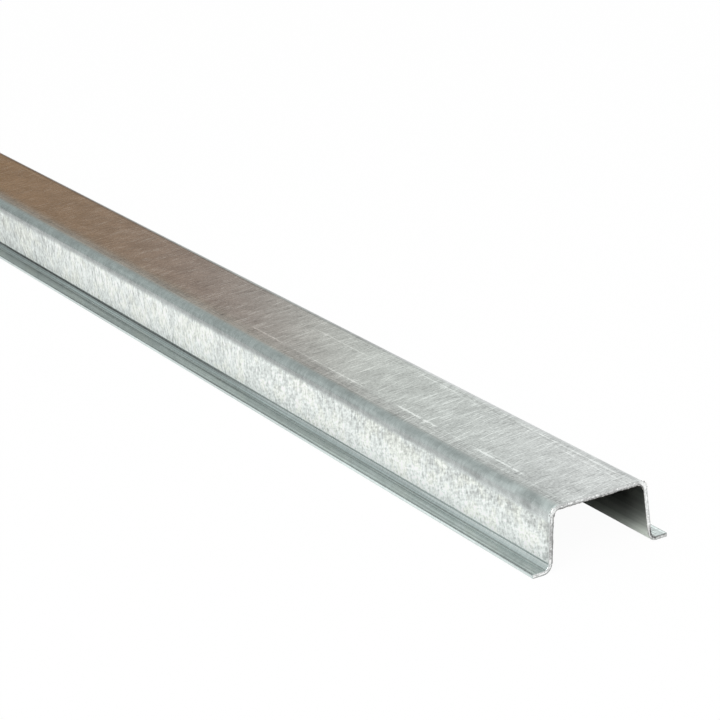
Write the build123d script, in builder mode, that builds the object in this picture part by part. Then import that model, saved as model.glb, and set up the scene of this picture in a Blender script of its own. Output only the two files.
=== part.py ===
from build123d import *
from math import radians, tan
import os

# Mounting rail of top-hat section, roll formed from one strip of galvanised steel.
# X runs across the section, Y along the rail and Z up; the rail lies on its lips.
# The origin is the middle of the footprint, on the plane of the lips' undersides.

# Driving dimensions, in millimetres and degrees
rail_length = 1000.0       # stock length, sheared square at both ends
overall_width = 35.0       # across both lips, the width that devices clip over
rail_height = 15.0         # from the lips' underside to the web's outer face
strip_thickness = 1.0      # steel strip with its zinc coating
lip_reach = 4.0            # lip's slit edge out from the leg's outer face, at the foot of the leg
leg_splay = 4.5            # how far each leg leans outwards on its way down, in degrees
web_bend_radius = 1.5      # inside of the bend from web to leg
lip_bend_radius = 1.3      # inside of the bend from leg to lip
slit_edge_radius = 0.2     # rounding along the strip's two slit edges
end_edge_break = 0.15      # rounding round the sheared face at both ends

# Corners of the outer skin, before they are bent to a radius
half_width = overall_width / 2
half_foot = half_width - lip_reach
half_crown = half_foot - (rail_height - strip_thickness) * tan(radians(leg_splay))
outer_bend_radius = web_bend_radius + strip_thickness


with BuildPart() as hat_rail:
    # The skin that faces up and out is drawn first, and the strip's thickness lies inside it
    with BuildSketch(Plane.XZ) as section:
        with BuildLine() as skin:
            FilletPolyline(
                (-half_width, strip_thickness),
                (-half_foot, strip_thickness),
                (-half_crown, rail_height),
                (half_crown, rail_height),
                (half_foot, strip_thickness),
                (half_width, strip_thickness),
                radius=[lip_bend_radius, outer_bend_radius, outer_bend_radius, lip_bend_radius],
            )
            offset(amount=strip_thickness, side=Side.RIGHT)
        make_face()
        across = section.vertices().group_by(Axis.X)
        fillet(across[0] + across[-1], radius=slit_edge_radius)
    extrude(amount=rail_length / 2, both=True)
    fillet(hat_rail.faces().filter_by(Axis.Y).edges(), radius=end_edge_break)

hat_rail.part.label = "hat_rail"


os.makedirs("parts", exist_ok=True)
export_step(hat_rail.part, "parts/hat_rail.step")
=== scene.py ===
import bpy
import bmesh
import random
from math import cos, degrees, pi, radians, sin, tan
from mathutils import Matrix, Vector


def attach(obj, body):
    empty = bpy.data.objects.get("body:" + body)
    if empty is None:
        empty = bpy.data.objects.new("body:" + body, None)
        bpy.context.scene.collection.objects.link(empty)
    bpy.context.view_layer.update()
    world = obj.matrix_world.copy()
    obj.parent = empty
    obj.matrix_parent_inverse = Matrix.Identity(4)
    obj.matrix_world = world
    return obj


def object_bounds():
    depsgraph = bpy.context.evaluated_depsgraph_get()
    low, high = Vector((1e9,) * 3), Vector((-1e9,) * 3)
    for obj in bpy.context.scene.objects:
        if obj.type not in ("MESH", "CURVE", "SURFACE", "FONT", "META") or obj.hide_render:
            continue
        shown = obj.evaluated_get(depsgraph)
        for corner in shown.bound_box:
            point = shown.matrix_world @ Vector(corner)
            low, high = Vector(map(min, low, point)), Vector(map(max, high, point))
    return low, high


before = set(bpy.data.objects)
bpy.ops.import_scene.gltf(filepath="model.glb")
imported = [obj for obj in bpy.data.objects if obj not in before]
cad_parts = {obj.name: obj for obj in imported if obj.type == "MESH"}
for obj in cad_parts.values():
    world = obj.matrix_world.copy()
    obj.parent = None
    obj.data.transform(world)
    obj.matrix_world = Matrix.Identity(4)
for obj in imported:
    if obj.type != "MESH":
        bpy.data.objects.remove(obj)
cad_low, cad_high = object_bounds()
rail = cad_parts["hat_rail"]
MM = 0.001

# The rail's own sizes, which the finishes follow, in millimetres
HEIGHT = cad_high.z / MM
HALF_LENGTH = cad_high.y / MM
THICKNESS = 1.0
SPLAY = radians(4.5)        # how far each leg leans outwards on its way down
WEB_BEND = (10.1, 12.5)     # centre of the bend between web and leg, across and up
WEB_BEND_SKIN = 2.5         # its outer radius
LIP_BEND = (14.7, 2.3)      # centre of the bend between leg and lip
LIP_BEND_SKIN = 1.3         # its inner radius
LEG_TOP = (11.4, 13.0)      # up the leg, between which its bright spangle gives way to the smooth bend
LEG_FOOT = 2.4              # up the leg, where the lower bend begins

# Camera, from the vanishing lines and the cut end's outline in the photograph
IMAGE_PX = 720
SENSOR_MM = 36.0
FOCAL_PX = 2495.4
CAMERA_YAW = radians(-29.0)
CAMERA_PITCH = radians(19.97)
CAMERA_ROLL = radians(-3.86)
END_PIXEL = (601.0, 557.6)  # where the middle of the near end's foot line shows
END_DEPTH = 0.5314          # metres from the camera to that point, along its axis


def make_camera():
    ahead = Vector((-sin(CAMERA_YAW) * cos(CAMERA_PITCH), cos(CAMERA_YAW) * cos(CAMERA_PITCH),
                    -sin(CAMERA_PITCH)))
    level_right = Vector((cos(CAMERA_YAW), sin(CAMERA_YAW), 0))
    level_up = level_right.cross(ahead)
    right = cos(CAMERA_ROLL) * level_right + sin(CAMERA_ROLL) * level_up
    up = cos(CAMERA_ROLL) * level_up - sin(CAMERA_ROLL) * level_right
    across = (END_PIXEL[0] - IMAGE_PX / 2) / FOCAL_PX * END_DEPTH
    down = (END_PIXEL[1] - IMAGE_PX / 2) / FOCAL_PX * END_DEPTH
    near_end = Vector((0, cad_low.y, cad_low.z))
    place = near_end - ahead * END_DEPTH - right * across + up * down
    data = bpy.data.cameras.new("camera")
    data.sensor_width = SENSOR_MM
    data.lens = FOCAL_PX / IMAGE_PX * SENSOR_MM
    data.clip_start = 0.01
    data.clip_end = 50
    camera = bpy.data.objects.new("camera", data)
    axes = Matrix((right, up, -ahead)).transposed()
    camera.matrix_world = Matrix.Translation(place) @ axes.to_4x4()
    bpy.context.scene.collection.objects.link(camera)
    bpy.context.scene.camera = camera


def new_material(name):
    material = bpy.data.materials.new(name)
    material.use_nodes = True
    material.node_tree.nodes.clear()
    return material


class Nodes:
    """Short calls that add nodes to one tree and return the socket that the next call takes."""

    def __init__(self, tree):
        self.tree = tree

    def add(self, kind, **settings):
        node = self.tree.nodes.new(kind)
        for key, value in settings.items():
            setattr(node, key, value)
        return node

    def feed(self, socket, value):
        if isinstance(value, bpy.types.NodeSocket):
            self.tree.links.new(value, socket)
        else:
            socket.default_value = value

    def math(self, operation, a, b=0.0, clamp=False):
        node = self.add("ShaderNodeMath", operation=operation, use_clamp=clamp)
        self.feed(node.inputs[0], a)
        self.feed(node.inputs[1], b)
        return node.outputs[0]

    def step(self, value, low, high, out_low=0.0, out_high=1.0):
        """A smooth rise from out_low to out_high as value goes from low to high."""
        node = self.add("ShaderNodeMapRange", interpolation_type="SMOOTHSTEP")
        self.feed(node.inputs["Value"], value)
        self.feed(node.inputs["From Min"], low)
        self.feed(node.inputs["From Max"], high)
        self.feed(node.inputs["To Min"], out_low)
        self.feed(node.inputs["To Max"], out_high)
        return node.outputs["Result"]

    def mix(self, share, a, b):
        node = self.add("ShaderNodeMix", data_type="FLOAT")
        self.feed(node.inputs["Factor"], share)
        self.feed(node.inputs["A"], a)
        self.feed(node.inputs["B"], b)
        return node.outputs["Result"]

    def mix_colour(self, share, a, b, blend="MIX"):
        node = self.add("ShaderNodeMix", data_type="RGBA", blend_type=blend)
        self.feed(node.inputs["Factor"], share)
        self.feed(node.inputs[6], a)
        self.feed(node.inputs[7], b)
        return node.outputs[2]

    def window(self, value, low, high, soft):
        """1 between low and high and 0 outside them, with edges that are 2 x soft wide."""
        rise = self.step(value, low - soft, low + soft)
        fall = self.step(value, high + soft, high - soft)
        return self.math("MULTIPLY", rise, fall)

    def ramp(self, value, low, high, stops):
        """A colour that goes through stops, (value, colour) pairs, as value goes from low to high."""
        node = self.add("ShaderNodeValToRGB")
        for _ in stops[2:]:
            node.color_ramp.elements.new(0.5)
        for element, (at, colour) in zip(node.color_ramp.elements, stops):
            element.position = (at - low) / (high - low)
            element.color = (*colour, 1)
        share = self.add("ShaderNodeMapRange")
        self.feed(share.inputs["Value"], value)
        self.feed(share.inputs["From Min"], low)
        self.feed(share.inputs["From Max"], high)
        self.feed(node.inputs[0], share.outputs["Result"])
        return node.outputs["Color"]

    def hypotenuse(self, a, b):
        """The length of (a, b), each taken as 0 where it is negative."""
        a = self.math("POWER", self.math("MAXIMUM", a, 0.0), 2.0)
        b = self.math("POWER", self.math("MAXIMUM", b, 0.0), 2.0)
        return self.math("SQRT", self.math("ADD", a, b))

    def tinted(self, tone, tint):
        """A grey of the given tone, times a tint."""
        grey = self.add("ShaderNodeCombineColor")
        for socket in grey.inputs[:3]:
            self.feed(socket, tone)
        return self.mix_colour(1.0, grey.outputs[0], tint, "MULTIPLY")

    def output(self, shader):
        out = self.add("ShaderNodeOutputMaterial")
        self.feed(out.inputs["Surface"], shader)


def light_path(nodes, *kinds):
    """1 for any of the named kinds of ray, and 0 for the rest."""
    path = nodes.add("ShaderNodeLightPath")
    result = path.outputs[kinds[0]]
    for kind in kinds[1:]:
        result = nodes.math("ADD", result, path.outputs[kind], clamp=True)
    return result


# Studio, in metres and watts
FLOOR_SIZE = 12.0
FLOOR_ALBEDO = 0.92
FLOOR_WHITENESS = 0.965     # share of the floor, as the camera sees it, that no shadow darkens
KEY_PLACE = (-1.4, -1.6, 1.6)
KEY_TARGET = (0, -0.4, 0)
KEY_SIZE = 1.4
KEY_WATTS = 32
AMBIENT = (0.72, 0.72, 0.72, 1)
WHITE = (1, 1, 1, 1)
DIM_CENTRE = radians(8)     # how high the dimmest spot of the room stands, straight behind the rail
WALL = [                    # degrees away from the dimmest spot, and the wall's colour there
    (21.2, (0.34, 0.38, 0.375)),
    (25.1, (0.42, 0.46, 0.455)),
    (29.1, (0.56, 0.61, 0.60)),
    (33.1, (0.68, 0.74, 0.735)),
    (37.1, (0.86, 0.90, 0.89)),
    (43, (1.0, 1.0, 1.0)),
]
WOOD = [                    # degrees right of straight behind, and the wood's colour there
    (14, (0.31, 0.25, 0.19)),
    (20, (0.35, 0.22, 0.125)),
    (23.35, (0.36, 0.245, 0.165)),
    (25.5, (0.385, 0.295, 0.25)),
    (27.25, (0.455, 0.41, 0.38)),
    (28.7, (0.80, 0.82, 0.78)),
    (31.25, (0.84, 0.87, 0.84)),
    (34.7, (1.0, 1.0, 1.0)),
]
WOOD_SIDE = (0, 14)         # degrees right of straight behind, between which the wood comes in
WOOD_TOP = (29, 20)         # degrees up, between which it comes in downwards


def make_floor():
    half = FLOOR_SIZE / 2
    mesh = bpy.data.meshes.new("floor")
    corners = [(-half, -half, 0), (half, -half, 0), (half, half, 0), (-half, half, 0)]
    mesh.from_pydata(corners, [], [(0, 1, 2, 3)])
    floor = bpy.data.objects.new("floor", mesh)
    bpy.context.scene.collection.objects.link(floor)
    material = new_material("floor_white")
    nodes = Nodes(material.node_tree)
    matt = nodes.add("ShaderNodeBsdfDiffuse")
    matt.inputs["Color"].default_value = (FLOOR_ALBEDO, FLOOR_ALBEDO, FLOOR_ALBEDO, 1)
    lit = nodes.add("ShaderNodeEmission")
    share = nodes.math("MULTIPLY", light_path(nodes, "Is Camera Ray"), FLOOR_WHITENESS)
    both = nodes.add("ShaderNodeMixShader")
    nodes.feed(both.inputs["Fac"], share)
    nodes.feed(both.inputs[1], matt.outputs[0])
    nodes.feed(both.inputs[2], lit.outputs[0])
    nodes.output(both.outputs[0])
    mesh.materials.append(material)


def room(nodes):
    """What the metal mirrors of the room behind the rail's far end.

    It is white, but dims to blue-grey straight behind, where brown wood stands right of the middle."""
    direction = nodes.add("ShaderNodeTexCoord").outputs["Generated"]
    axes = nodes.add("ShaderNodeSeparateXYZ")
    nodes.feed(axes.inputs[0], direction)
    turn = nodes.math("MULTIPLY", nodes.math("ARCTAN2", axes.outputs[0], axes.outputs[1]), degrees(1))
    rise = nodes.math("MULTIPLY", nodes.math("ARCSINE", axes.outputs[2]), degrees(1))
    dot = nodes.add("ShaderNodeVectorMath", operation="DOT_PRODUCT")
    nodes.feed(dot.inputs[0], direction)
    dot.inputs[1].default_value = (0, cos(DIM_CENTRE), sin(DIM_CENTRE))
    away = nodes.math("MULTIPLY", nodes.math("ARCCOSINE", dot.outputs["Value"]), degrees(1))
    wall = nodes.ramp(away, 0, 60, WALL)
    wood = nodes.ramp(turn, 10, 40, WOOD)
    share = nodes.math("MULTIPLY", nodes.step(turn, *WOOD_SIDE), nodes.step(rise, *WOOD_TOP))
    return nodes.mix_colour(share, wall, wood)


def make_world():
    world = bpy.data.worlds.new("studio")
    world.use_nodes = True
    world.node_tree.nodes.clear()
    nodes = Nodes(world.node_tree)
    behind = light_path(nodes, "Is Camera Ray", "Is Transmission Ray")
    seen = nodes.mix_colour(behind, AMBIENT, WHITE)
    sky = nodes.add("ShaderNodeBackground")
    nodes.feed(sky.inputs["Color"], nodes.mix_colour(light_path(nodes, "Is Glossy Ray"), seen, room(nodes)))
    out = nodes.add("ShaderNodeOutputWorld")
    nodes.feed(out.inputs["Surface"], sky.outputs[0])
    bpy.context.scene.world = world


def make_key_light():
    data = bpy.data.lights.new("key", "AREA")
    data.shape = "SQUARE"
    data.size = KEY_SIZE
    data.energy = KEY_WATTS
    lamp = bpy.data.objects.new("key", data)
    lamp.location = KEY_PLACE
    lamp.rotation_euler = (Vector(KEY_TARGET) - Vector(KEY_PLACE)).to_track_quat("-Z", "Y").to_euler()
    lamp.visible_camera = False
    bpy.context.scene.collection.objects.link(lamp)


def make_studio():
    make_floor()
    make_world()
    make_key_light()


# Finish of the galvanised strip: all its lengths are in millimetres
SCUFFS = [                  # bright runs along the web: across, from, to, half width and strength
    (-6.6, -372, -357, 0.20, 0.50),
    (-6.6, -396, -378, 0.14, 0.30),
    (-6.6, -412, -396, 0.22, 0.45),
    (-6.7, -446, -429, 0.34, 0.40),
    (-6.7, -460, -448, 0.14, 0.20),
    (-6.8, -481, -462, 0.30, 0.38),
    (-5.8, -478, -464, 0.14, 0.20),
    (5.1, -395, -370, 0.13, 0.40),
    (8.5, -431, -407, 0.14, 0.30),
    (7.9, -441, -423, 0.10, 0.22),
    (9.1, -495, -455, 0.13, 0.32),
    (7.4, -499, -474, 0.12, 0.26),
]
WEB_CROWN = (-7.0, -5.7)    # across the web, where it starts to turn down to the near bend: near and far
CROWN_FALL = (-0.0073, -0.0168)     # its drop from there, per distance squared: near and far
LIP_GIRTH = 28.3            # round the section from the web's middle, where the lip's flat begins
FOOT_REFLECTION_LINES = [              # painted reflection: light and dark lines below a leg: girth, half width, change of tone near and far
    (26.3, 0.46, 0.05, -0.31),
    (26.8, 0.50, 0.0, -0.14),
    (27.6, 0.12, 0.10, 0.14),
    (28.2, 0.18, -0.24, -0.12),
]
FAR_RUN = (-430, -300)      # along the rail, where the near values give way to the far ones

# Tones, which are shares of the light that a finish mirrors, before its grain is added
WEB_TONE = 0.60
BEND_TONES = (0.56, 0.605)  # far and near
LEG_TONE = 0.87
FOOT_TONE = 0.575
LIP_TONES = (0.49, 0.41)    # near and far
SLIT_LINE_TONE = 0.32       # of the dark line beside a lip's rounded slit edge, painted shade
SLIT_EDGE_TONE = 0.72
INNER_TONES = (0.36, 0.14)  # low in the channel and high in it: painted shade, darker high up under the web
INNER_FOOT_TONE = 0.60
END_EDGE_TONE = 0.55        # of the broken edge round the sheared ends
CUT_WEB_TONE = 0.60
CUT_NEAR_LEG_TONES = (0.53, 0.72)   # up the leg and at its foot
CUT_FAR_LEG_TONES = (0.62, 0.84)    # by the skin and deeper in
CUT_FAR_FOOT_TONE = 0.52
# painted highlight at the cut face's corner by the web bend
CUT_CORNER_HIGHLIGHT_TONE = 0.86
CUT_EDGE_TONE = 0.58        # along the outer skin of the web
TORN_TONE = 0.34            # of the edge that it tore
TORN_FOOT_TONE = 0.20       # of the torn edge at the far leg's foot

WEB_TINT = (0.975, 1.0, 0.985, 1)
BEND_TINT = (0.935, 1.0, 0.985, 1)
LEG_TINTS = ((0.955, 1.0, 0.975, 1), (0.965, 1.0, 0.945, 1))    # cooler and warmer
FOOT_TINT = (0.905, 1.0, 0.985, 1)
INNER_TINT = (0.935, 1.0, 0.925, 1)
CUT_TINT = (0.985, 1.0, 0.99, 1)

WEB_ROUGHNESS = 0.15
BEND_ROUGHNESS = 0.26       # of the near bend, and of the web beside it
LEG_ROUGHNESS = 0.5
FOOT_ROUGHNESS = 0.25
SCRATCH_ROUGHNESS = 0.22
CUT_ROUGHNESS = 0.5
FLECK_DEPTH = 0.01          # how far the spangle's flecks stand out on the legs

STRAIGHT = (0, 0, 0)        # grains that don't lean
GRAIN_ROUGHNESS = 0.55
SEED_SHIFT = (31.7, 57.3, 11.9)     # how far apart two neighbouring seeds take their noise
NOISE_RANGE = (0.28, 0.72)  # between which nearly all values of a noise lie


class Skin:
    """Sockets that say where on the rail a point lies, in millimetres, and which way it faces."""

    def __init__(self, nodes):
        scaled = nodes.add("ShaderNodeVectorMath", operation="SCALE")
        nodes.feed(scaled.inputs[0], nodes.add("ShaderNodeTexCoord").outputs["Object"])
        scaled.inputs["Scale"].default_value = 1 / MM
        self.point = scaled.outputs[0]
        parts = nodes.add("ShaderNodeSeparateXYZ")
        nodes.feed(parts.inputs[0], self.point)
        self.across, self.along, self.height = parts.outputs
        self.reach = nodes.math("ABSOLUTE", self.across)
        # grows all the way round the section, from the web's middle to each slit edge
        self.girth = nodes.math("ADD", self.reach, nodes.math("SUBTRACT", HEIGHT, self.height))
        facing = nodes.add("ShaderNodeSeparateXYZ")
        nodes.feed(facing.inputs[0], nodes.add("ShaderNodeNewGeometry").outputs["True Normal"])
        self.up = facing.outputs[2]
        self.outward = nodes.math("MULTIPLY", facing.outputs[0], nodes.math("SIGN", self.across))
        self.endward = nodes.math("ABSOLUTE", facing.outputs[1])
        self.far_side = nodes.step(self.across, -1.0, 1.0)
        self.from_end = nodes.math("SUBTRACT", HALF_LENGTH, nodes.math("ABSOLUTE", self.along))

    def depth(self, nodes):
        """How deep in the strip a point of a cut face lies, from the skin that faces up and out."""
        drop = nodes.math("SUBTRACT", HEIGHT, self.height)
        upright = nodes.math("SUBTRACT", self.reach, nodes.math("MULTIPLY", drop, tan(SPLAY)))
        bend_line = WEB_BEND[0] - (HEIGHT - WEB_BEND[1]) * tan(SPLAY)
        upper = nodes.hypotenuse(nodes.math("SUBTRACT", upright, bend_line),
                                 nodes.math("SUBTRACT", self.height, WEB_BEND[1]))
        lower = nodes.hypotenuse(nodes.math("SUBTRACT", LIP_BEND[0], self.reach),
                                 nodes.math("SUBTRACT", LIP_BEND[1], self.height))
        upper = nodes.math("SUBTRACT", WEB_BEND_SKIN, upper)
        lower = nodes.math("SUBTRACT", lower, LIP_BEND_SKIN)
        return nodes.mix(nodes.step(self.height, 2.5, 3.5), lower, upper)


def grains(nodes, skin, spans, lean, seed, detail):
    """Noise with grains as long as spans along the three axes, turned by lean, in degrees."""
    laid = nodes.add("ShaderNodeMapping", vector_type="TEXTURE")
    nodes.feed(laid.inputs["Vector"], skin.point)
    laid.inputs["Location"].default_value = [seed * shift for shift in SEED_SHIFT]
    laid.inputs["Rotation"].default_value = [radians(angle) for angle in lean]
    laid.inputs["Scale"].default_value = spans
    noise = nodes.add("ShaderNodeTexNoise")
    nodes.feed(noise.inputs["Vector"], laid.outputs[0])
    noise.inputs["Scale"].default_value = 1.0
    noise.inputs["Detail"].default_value = detail
    noise.inputs["Roughness"].default_value = GRAIN_ROUGHNESS
    return noise.outputs["Fac"]


def strongest(nodes, values):
    result = values[0]
    for value in values[1:]:
        result = nodes.math("MAXIMUM", result, value)
    return result


def swing(nodes, value, size):
    """Noise turned into a change of tone, from -size to size."""
    return nodes.step(value, *NOISE_RANGE, -size, size)


def total(nodes, *values):
    result = values[0]
    for value in values[1:]:
        result = nodes.math("ADD", result, value)
    return result


def web_tone(nodes, skin):
    """The web: clouded, with fine scratches across it, and scuffs and the rolls' lines along it."""
    sets = [
        grains(nodes, skin, (7, 0.36, 9), (0, 0, 7), 1.0, 0.0),
        grains(nodes, skin, (5, 0.32, 9), (0, 0, 15), 2.0, 0.0),
        grains(nodes, skin, (6, 0.36, 9), (0, 0, 12), 3.0, 0.0),
    ]
    scratches = nodes.step(strongest(nodes, sets), 0.66, 0.78)
    dark = nodes.step(grains(nodes, skin, (3, 0.40, 9), (0, 0, 2), 4.0, 0.0), 0.64, 0.8)
    hair = grains(nodes, skin, (1.0, 0.34, 9), (0, 0, 10), 5.0, 2.0)
    grit = grains(nodes, skin, (0.5, 0.5, 9), STRAIGHT, 9.0, 1.0)
    cloud = grains(nodes, skin, (5, 9, 9), (0, 0, 20), 6.0, 2.0)
    lines = grains(nodes, skin, (0.35, 26, 9), STRAIGHT, 7.0, 1.0)
    chips = nodes.step(grains(nodes, skin, (0.5, 1.6, 9), STRAIGHT, 8.0, 1.0), 0.32, 0.52)
    beside_bend = nodes.step(skin.reach, 5.5, 9.5)
    clearness = nodes.math("SUBTRACT", nodes.step(skin.from_end, 15, 45, 0.18, 0.30),
                           nodes.step(skin.along, -400, -300, 0.0, 0.14))
    scuffs = []
    for across, low, high, half, strength in SCUFFS:
        line = nodes.window(skin.across, across - half, across + half, 0.24)
        run = nodes.window(skin.along, low, high, 2.0)
        scuffs.append(nodes.math("MULTIPLY", nodes.math("MULTIPLY", line, run), strength))
    scuff = nodes.math("MULTIPLY", strongest(nodes, scuffs), chips)
    tone = total(
        nodes, WEB_TONE,
        nodes.step(skin.across, -5.0, -8.5, 0.0, -0.04),
        swing(nodes, hair, 0.05),
        swing(nodes, grit, 0.08),
        swing(nodes, cloud, 0.06),
        nodes.math("MULTIPLY", scratches, clearness),
        nodes.math("MULTIPLY", dark, -0.18),
        nodes.math("MULTIPLY", swing(nodes, lines, 0.08), beside_bend),
        scuff,
    )
    return tone, scratches


def bend_tone(nodes, skin):
    """The bends between web and legs: smoother than either, with soft lines along them and a painted
    highlight at the ends.
    """
    lines = grains(nodes, skin, (1.2, 30, 1.2), STRAIGHT, 11.0, 2.0)
    cloud = grains(nodes, skin, (4, 6, 4), STRAIGHT, 12.0, 3.0)
    faint = nodes.step(grains(nodes, skin, (4, 0.4, 4), (0, 0, 8), 13.0, 0.0), 0.60, 0.78)
    mottle = grains(nodes, skin, (1.5, 1.2, 1.5), STRAIGHT, 14.0, 2.0)
    near_end = nodes.step(skin.from_end, 45, 5)
    cloudiness = nodes.mix(near_end, swing(nodes, cloud, 0.05), swing(nodes, cloud, 0.13))
    # painted highlight on the bend within a millimetre of each end
    painted_end_highlight = nodes.step(skin.from_end, 0.9, 0.3, 0.0, 0.34)
    base = nodes.step(skin.along, -400, -440, *BEND_TONES)
    return total(
        nodes, base, painted_end_highlight, cloudiness,
        swing(nodes, lines, 0.04),
        swing(nodes, mottle, 0.05),
        nodes.math("MULTIPLY", faint, 0.05),
    )


def leg_tone(nodes, skin):
    """The legs' outer faces: bright spangled zinc, with upright flecks that lean in the lower part, a
    painted highlight along the foot and painted shade near the sheared ends.
    """
    upright = grains(nodes, skin, (9, 0.75, 2.0), STRAIGHT, 21.0, 3.0)
    leaning = grains(nodes, skin, (9, 0.8, 2.0), (-32, 0, 0), 22.0, 3.0)
    flecks = nodes.mix(nodes.step(skin.height, 5.4, 6.6), leaning, upright)
    crossing = grains(nodes, skin, (9, 2.0, 0.7), (-20, 0, 0), 26.0, 2.0)
    slanting = grains(nodes, skin, (9, 0.7, 2.2), (-30, 0, 0), 27.0, 2.0)
    cross = nodes.mix(nodes.step(skin.along, -400, -320), crossing, slanting)
    blotch = grains(nodes, skin, (9, 4.5, 4), STRAIGHT, 23.0, 2.0)
    grit = grains(nodes, skin, (0.6, 0.45, 0.6), STRAIGHT, 24.0, 1.0)
    # painted highlight: a bright line along the bottom of each leg
    painted_foot_highlight = nodes.window(skin.height, 2.6, 2.85, 0.12)
    far_end = nodes.step(skin.along, -268, -205)
    far_run = nodes.math("MULTIPLY", nodes.window(skin.height, 5.0, 6.5, 1.5), 0.09)
    far_run = nodes.math("MULTIPLY", far_end, nodes.math("SUBTRACT", far_run, 0.12))
    near_run = nodes.math("MULTIPLY", nodes.step(skin.along, -375, -440),
                          nodes.step(skin.height, 5.0, 11.5, 0.05, -0.13))
    patches = nodes.step(grains(nodes, skin, (9, 9, 9), STRAIGHT, 25.0, 1.0), 0.45, 0.6)
    roll_line = nodes.math("MULTIPLY", nodes.window(skin.height, 6.0, 6.15, 0.12), patches)
    # painted shade: the legs darker within 3 mm of the sheared ends
    sheared = nodes.step(skin.from_end, 3.0, 0.2, 0.0, -0.18)
    tone = total(
        nodes, LEG_TONE, far_run, near_run, sheared,
        swing(nodes, flecks, 0.16),
        swing(nodes, cross, 0.14),
        swing(nodes, blotch, 0.05),
        swing(nodes, grit, 0.09),
        nodes.math("MULTIPLY", painted_foot_highlight, 0.10),
        nodes.math("MULTIPLY", roll_line, 0.10),
    )
    return tone, flecks, blotch


def foot_tone(nodes, skin):
    """The bends at the legs' feet and the lips: duller, with the rolls' lines and painted reflection lines
    along them.
    """
    broad = grains(nodes, skin, (0.9, 90, 0.9), STRAIGHT, 31.0, 1.0)
    fine = grains(nodes, skin, (0.35, 40, 0.35), STRAIGHT, 32.0, 1.0)
    hair = grains(nodes, skin, (2.0, 0.5, 2.0), (0, 0, 8), 33.0, 2.0)
    lip = nodes.step(skin.along, -480, -300, *LIP_TONES)
    lip = nodes.math("ADD", lip, nodes.math("MULTIPLY", skin.far_side, 0.14))
    base = nodes.mix(nodes.step(skin.girth, LIP_GIRTH - 0.2, LIP_GIRTH + 0.2), FOOT_TONE, lip)
    # painted reflection lines below the legs
    for middle, half, near, far in FOOT_REFLECTION_LINES:
        line = nodes.window(skin.girth, middle - half, middle + half, 0.1)
        change = nodes.step(skin.along, *FAR_RUN, near, far)
        base = nodes.math("ADD", base, nodes.math("MULTIPLY", line, change))
    shine = nodes.step(skin.along, -300, -380, 0.04, 0.20)
    shine = nodes.math("MULTIPLY", nodes.window(skin.girth, 30.7, 31.0, 0.12), shine)
    base = nodes.math("ADD", base, shine)
    # painted shade: a dark line on the lip's rounded slit edge
    base = nodes.mix(nodes.window(skin.girth, 31.25, 31.62, 0.08), base, SLIT_LINE_TONE)
    base = nodes.mix(nodes.step(skin.girth, 31.62, 31.9), base, SLIT_EDGE_TONE)
    hair = nodes.math("MULTIPLY", swing(nodes, hair, 0.04), nodes.step(skin.across, 12, 14, 1.0, 4.0))
    return total(nodes, base, swing(nodes, broad, 0.06), swing(nodes, fine, 0.07), hair)


def inner_tone(nodes, skin):
    """The channel's inside: painted shade, darker high up and lighter low down, with lines along it, and
    painted light beside the cut.
    """
    lines = grains(nodes, skin, (3, 40, 0.8), STRAIGHT, 41.0, 2.0)
    # painted shade: darker high in the channel, under the web
    painted_channel_shade = nodes.step(skin.height, 3.2, 8.0, *INNER_TONES)
    painted_channel_shade = nodes.mix(nodes.step(skin.height, 3.8, 2.4), painted_channel_shade, INNER_FOOT_TONE)
    # painted light beside the cut
    beside = nodes.step(skin.from_end, 9.0, 0.5, 0.0, 0.23)
    return total(nodes, painted_channel_shade, beside, swing(nodes, lines, 0.05))


def cut_tone(nodes, skin):
    """The sheared ends: pale and grainy, with beads painted as bright glints, and dark along the edge that
    the shear tore.
    """
    depth = skin.depth(nodes)
    grain = grains(nodes, skin, (0.45, 1, 0.45), STRAIGHT, 51.0, 1.0)
    # the shear's beads, painted as bright glints
    beads = nodes.step(grains(nodes, skin, (0.6, 1, 0.5), STRAIGHT, 52.0, 0.0), 0.56, 0.64)
    beads = nodes.math("MULTIPLY", beads, nodes.window(depth, 0.25, 0.65, 0.1))
    in_web = nodes.step(skin.height, 13.0, 13.8)
    far_foot = nodes.math("MULTIPLY", skin.far_side, nodes.step(skin.height, 4.0, 2.6))
    near_leg = nodes.step(skin.height, 4.0, 2.6, *CUT_NEAR_LEG_TONES)
    legs = nodes.mix(skin.far_side, near_leg, nodes.step(depth, 0.25, 0.5, *CUT_FAR_LEG_TONES))
    legs = nodes.mix(far_foot, legs, CUT_FAR_FOOT_TONE)
    base = nodes.mix(in_web, legs, CUT_WEB_TONE)
    base = nodes.math("ADD", base, nodes.math("MULTIPLY", beads, 0.34))
    torn = nodes.math("MULTIPLY", nodes.step(depth, 0.62, 0.86),
                      nodes.step(skin.across, 12.1, 11.3))
    base = nodes.mix(torn, base, TORN_TONE)
    edge = nodes.math("MULTIPLY", nodes.step(depth, 0.22, 0.08), in_web)
    base = nodes.mix(edge, base, CUT_EDGE_TONE)
    torn_foot = nodes.math("SUBTRACT", depth, nodes.step(skin.reach, 15.0, 14.4, 0.0, 0.25))
    torn_foot = nodes.math("MULTIPLY", far_foot, nodes.step(torn_foot, 0.34, 0.2))
    base = nodes.mix(torn_foot, base, TORN_FOOT_TONE)
    # painted highlight at the corner where the web bends down
    corner = nodes.math("MULTIPLY", nodes.step(skin.reach, 10.5, 11.3), nodes.step(skin.height, 12.6, 13.4))
    base = nodes.mix(nodes.math("MULTIPLY", corner, nodes.step(depth, 0.9, 0.7)), base, CUT_CORNER_HIGHLIGHT_TONE)
    return total(nodes, base, swing(nodes, grain, 0.13))


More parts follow.
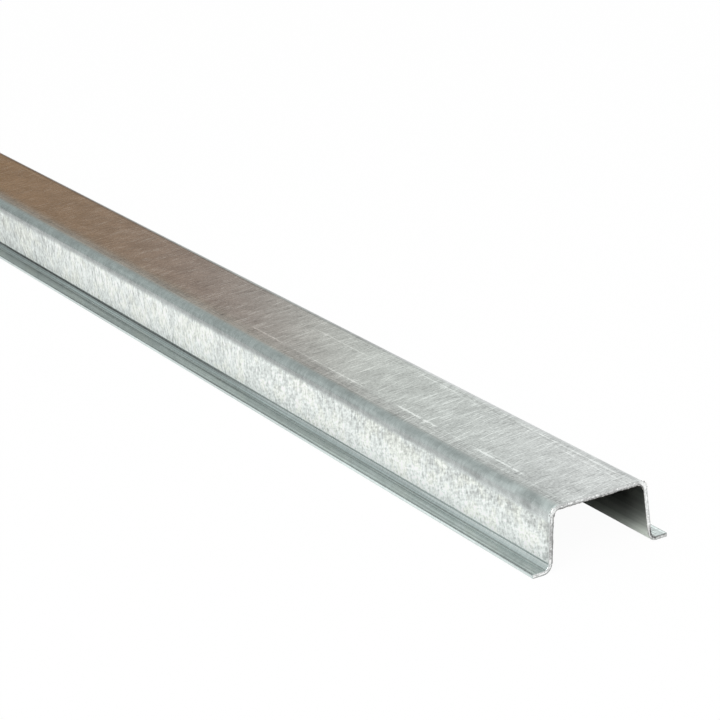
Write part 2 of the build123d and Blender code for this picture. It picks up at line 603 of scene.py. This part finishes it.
class Zones:
    """Sockets that are 1 on one part of the section and 0 on the rest."""

    def __init__(self, nodes, skin):
        outside = nodes.step(skin.outward, 0.3, 0.7)
        # near the end the legs' spangle stops lower down
        level = nodes.math("ADD", skin.height, nodes.step(skin.along, -445, -490, 0.0, 0.6))
        leg = nodes.math("MULTIPLY", nodes.step(skin.height, LEG_FOOT - 0.15, LEG_FOOT + 0.15),
                         nodes.step(level, LEG_TOP[1], LEG_TOP[0]))
        self.leg = nodes.math("MULTIPLY", leg, outside)
        self.web = nodes.math("MULTIPLY", nodes.step(skin.reach, WEB_BEND[0] + 1.4, WEB_BEND[0] - 0.8),
                              nodes.step(skin.up, 0.7, 0.95))
        self.near_bend = nodes.window(skin.across, -12.1, -9.6, 0.9)
        # painted shade: the top of the legs' outer faces, just below the bend, darkened
        self.leg_head_shade = nodes.math("MULTIPLY", nodes.window(skin.height, 12.2, 13.7, 0.6), outside)
        self.far_bend = nodes.window(skin.across, 9.9, 12.4, 0.5)
        self.foot = nodes.math("MULTIPLY", nodes.step(skin.height, LEG_FOOT + 0.2, LEG_FOOT - 0.2),
                               nodes.math("MAXIMUM", outside, nodes.step(skin.up, 0.0, 0.2)))
        self.inner = nodes.math("MAXIMUM", nodes.step(skin.outward, -0.2, -0.5),
                                nodes.step(skin.up, -0.5, -0.8))
        self.cut = nodes.step(skin.endward, 0.85, 0.95)


def steel_colour(nodes, skin, zones):
    """The strip's colour, with two of its patterns, the web's scratches and the legs' flecks."""
    web, scratches = web_tone(nodes, skin)
    tone = nodes.mix(zones.web, bend_tone(nodes, skin), web)
    # the near bend lighter away from the near end
    near_bend_change = nodes.step(skin.along, -460, -300, -0.04, 0.11)
    tone = nodes.math("ADD", tone, nodes.math("MULTIPLY", zones.near_bend, near_bend_change))
    # painted shade: the far bend darker, most of all away from the near end
    dark = nodes.step(skin.along, -420, -380, -0.08, -0.32)
    tone = nodes.math("ADD", tone, nodes.math("MULTIPLY", zones.far_bend, dark))
    leg, flecks, blotch = leg_tone(nodes, skin)
    tone = nodes.mix(zones.leg, tone, leg)
    # painted shade at the top of the legs
    tone = nodes.math("ADD", tone, nodes.math("MULTIPLY", zones.leg_head_shade, -0.15))
    tone = nodes.mix(zones.foot, tone, foot_tone(nodes, skin))
    tone = nodes.mix(zones.inner, tone, inner_tone(nodes, skin))
    tone = nodes.mix(nodes.window(skin.endward, 0.3, 0.92, 0.05), tone, END_EDGE_TONE)
    tone = nodes.mix(zones.cut, tone, cut_tone(nodes, skin))
    tint = nodes.mix_colour(nodes.step(blotch, 0.45, 0.62), *LEG_TINTS)
    tint = nodes.mix_colour(zones.leg, BEND_TINT, tint)
    tint = nodes.mix_colour(zones.foot, tint, FOOT_TINT)
    tint = nodes.mix_colour(zones.inner, tint, INNER_TINT)
    tint = nodes.mix_colour(zones.web, tint, WEB_TINT)
    tint = nodes.mix_colour(zones.cut, tint, CUT_TINT)
    return nodes.tinted(tone, tint), scratches, flecks


def steel_roughness(nodes, skin, zones, scratches):
    result = nodes.step(skin.across, -4.5, -9.5, WEB_ROUGHNESS, BEND_ROUGHNESS)
    result = nodes.mix(zones.leg, result, LEG_ROUGHNESS)
    result = nodes.mix(zones.foot, result, FOOT_ROUGHNESS)
    result = nodes.mix(nodes.math("MULTIPLY", zones.web, scratches), result, SCRATCH_ROUGHNESS)
    return nodes.mix(zones.cut, result, CUT_ROUGHNESS)


def steel_relief(nodes, skin, zones, flecks):
    """How the web turns down towards the near bend, and how the flecks stand out on the legs."""
    crown = nodes.add("ShaderNodeBump")
    crown.inputs["Distance"].default_value = MM
    start = nodes.step(skin.along, *FAR_RUN, *WEB_CROWN)
    past = nodes.math("MAXIMUM", nodes.math("SUBTRACT", start, skin.across), 0.0)
    fall = nodes.step(skin.along, *FAR_RUN, *CROWN_FALL)
    nodes.feed(crown.inputs["Height"], nodes.math("MULTIPLY", nodes.math("POWER", past, 2.0), fall))
    nodes.feed(crown.inputs["Strength"], zones.web)
    raised = nodes.add("ShaderNodeBump")
    raised.inputs["Distance"].default_value = FLECK_DEPTH * MM
    nodes.feed(raised.inputs["Strength"], zones.leg)
    nodes.feed(raised.inputs["Height"], flecks)
    nodes.feed(raised.inputs["Normal"], crown.outputs[0])
    return raised.outputs[0]


def galvanised_steel():
    material = new_material("galvanised_steel")
    nodes = Nodes(material.node_tree)
    skin = Skin(nodes)
    zones = Zones(nodes, skin)
    colour, scratches, flecks = steel_colour(nodes, skin, zones)
    surface = nodes.add("ShaderNodeBsdfPrincipled")
    surface.inputs["Metallic"].default_value = 1.0
    nodes.feed(surface.inputs["Base Color"], colour)
    nodes.feed(surface.inputs["Roughness"], steel_roughness(nodes, skin, zones, scratches))
    nodes.feed(surface.inputs["Normal"], steel_relief(nodes, skin, zones, flecks))
    nodes.output(surface.outputs[0])
    return material


# Burrs that the shear left round the two ends, in millimetres
END_GAP = 0.01              # how far all of them stay behind the end face
FIN_SPACING = 0.3
FIN_ROOT = 0.16             # how deep in the steel the fin starts, past the broken edge
FIN_HEEL = 0.05             # how deep in the steel its back edge lies
FIN_INSETS = (END_GAP, 0.04, 0.35)  # from the end face back to its root, its tip and its back edge
FIN_HEIGHTS = (-0.06, 0.26)     # between which its heights are drawn, before three are averaged
FIN_LEAST = 0.01            # its least height
FIN_NEAR_LEG = 0.55         # its height on the near leg, as a share of that under the web
FIN_FAR_LEG = 0.2           # the same on the far leg
BEND_TURNS = 8              # pieces that each bend is cut into
LUMP_FLATNESS = 0.6         # its depth along the rail, as a share of its radius
LUMP_SWELL = (0.82, 1.12)   # between which its points lie, as shares of its radius
LUMP_ROOM = 1.15            # how far its middle lies behind the gap, as a share of its depth
LUMPS = [                   # bright lumps at the corners: across, up and radius
    (-11.0, 14.5, 0.30),
    (-11.6, 14.2, 0.38),
    (-12.05, 13.7, 0.36),
    (-12.35, 13.1, 0.28),
    (-11.5, 13.35, 0.26),
    (11.2, 14.5, 0.28),
    (11.85, 14.15, 0.36),
    (12.3, 13.65, 0.34),
    (12.45, 13.0, 0.28),
    (12.5, 12.4, 0.20),
    (11.5, 13.3, 0.34),
    (11.6, 12.8, 0.26),
]


def inner_edge():
    """Along the section's inner edge, from foot to foot: points, and directions into the channel."""
    radius = WEB_BEND_SKIN - THICKNESS
    half = []
    for step in range(int(WEB_BEND[0] / FIN_SPACING) + 1):
        half.append(((step * FIN_SPACING, HEIGHT - THICKNESS), (0, -1)))
    for step in range(BEND_TURNS + 1):
        angle = pi / 2 + (SPLAY - pi / 2) * step / BEND_TURNS
        out = (cos(angle), sin(angle))
        half.append(((WEB_BEND[0] + radius * out[0], WEB_BEND[1] + radius * out[1]), (-out[0], -out[1])))
    (across, up), into = half[-1]
    while up > LEG_FOOT:
        across += FIN_SPACING * sin(SPLAY)
        up -= FIN_SPACING * cos(SPLAY)
        half.append(((across, up), into))
    mirrored = [((-across, up), (-into[0], into[1])) for (across, up), into in half[:0:-1]]
    return mirrored + half


def add_fin(bm, chance, end):
    """The torn edge: a thin ragged fin that hangs from the inner edge into the channel."""
    edge = inner_edge()
    heights = [chance.uniform(*FIN_HEIGHTS) for _ in range(len(edge) + 2)]
    rows = []
    for index, ((across, up), into) in enumerate(edge):
        share = 1.0 if up > WEB_BEND[1] else FIN_NEAR_LEG
        if across > 0 and up < WEB_BEND[1]:
            share = FIN_FAR_LEG
        tall = max(FIN_LEAST, sum(heights[index:index + 3]) / 3 * share)
        row = []
        for outward, inset in zip((-FIN_ROOT, tall, -FIN_HEEL), FIN_INSETS):
            place = (across + into[0] * outward, end * (HALF_LENGTH - inset), up + into[1] * outward)
            row.append(bm.verts.new(Vector(place) * MM))
        rows.append(row)
    for before, after in zip(rows, rows[1:]):
        for first, second in ((0, 1), (1, 2), (2, 0)):
            bm.faces.new((before[first], before[second], after[second], after[first]))
    bm.faces.new(rows[0])
    bm.faces.new(rows[-1][::-1])


def add_lumps(bm, chance, end):
    for across, up, radius in LUMPS:
        depth = LUMP_FLATNESS * radius
        along = end * (HALF_LENGTH - depth * LUMP_ROOM - END_GAP)
        place = Matrix.Translation(Vector((across, along, up)) * MM)
        lump = bmesh.ops.create_icosphere(bm, subdivisions=2, radius=radius * MM,
                                          matrix=place @ Matrix.Diagonal((1, depth / radius, 1, 1)))
        middle = place.translation
        for vert in lump["verts"]:
            vert.co = middle + (vert.co - middle) * chance.uniform(*LUMP_SWELL)
        for face in {face for vert in lump["verts"] for face in vert.link_faces}:
            face.material_index = 1
            face.smooth = True


def make_burrs(name, end, seed, finishes):
    chance = random.Random(seed)
    bm = bmesh.new()
    add_fin(bm, chance, end)
    add_lumps(bm, chance, end)
    bmesh.ops.recalc_face_normals(bm, faces=bm.faces)
    mesh = bpy.data.meshes.new(name)
    bm.to_mesh(mesh)
    bm.free()
    for finish in finishes:
        mesh.materials.append(finish)
    burrs = bpy.data.objects.new(name, mesh)
    bpy.context.scene.collection.objects.link(burrs)
    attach(burrs, "root")


def bare_steel(name, dark, bright, tint, roughness):
    """Sheared metal, which goes from dark to bright in specks."""
    material = new_material(name)
    nodes = Nodes(material.node_tree)
    skin = Skin(nodes)
    specks = grains(nodes, skin, (0.5, 0.5, 0.5), STRAIGHT, 61.0, 1.0)
    specks = nodes.step(specks, 0.50, 0.62, dark, bright)
    surface = nodes.add("ShaderNodeBsdfPrincipled")
    surface.inputs["Metallic"].default_value = 1.0
    surface.inputs["Roughness"].default_value = roughness
    nodes.feed(surface.inputs["Base Color"], nodes.tinted(specks, tint))
    nodes.output(surface.outputs[0])
    return material


make_camera()
make_studio()
rail.material_slots[0].material = galvanised_steel()
torn_steel = bare_steel("torn_steel", dark=0.24, bright=0.62, tint=(1.0, 0.985, 0.96, 1), roughness=0.45)
bright_zinc = bare_steel("bright_zinc", dark=0.30, bright=0.95, tint=(1.0, 0.99, 0.97, 1), roughness=0.35)
make_burrs("burrs_near", end=-1, seed=11, finishes=(torn_steel, bright_zinc))
make_burrs("burrs_far", end=1, seed=12, finishes=(torn_steel, bright_zinc))
bpy.context.scene.view_settings.view_transform = "Standard"
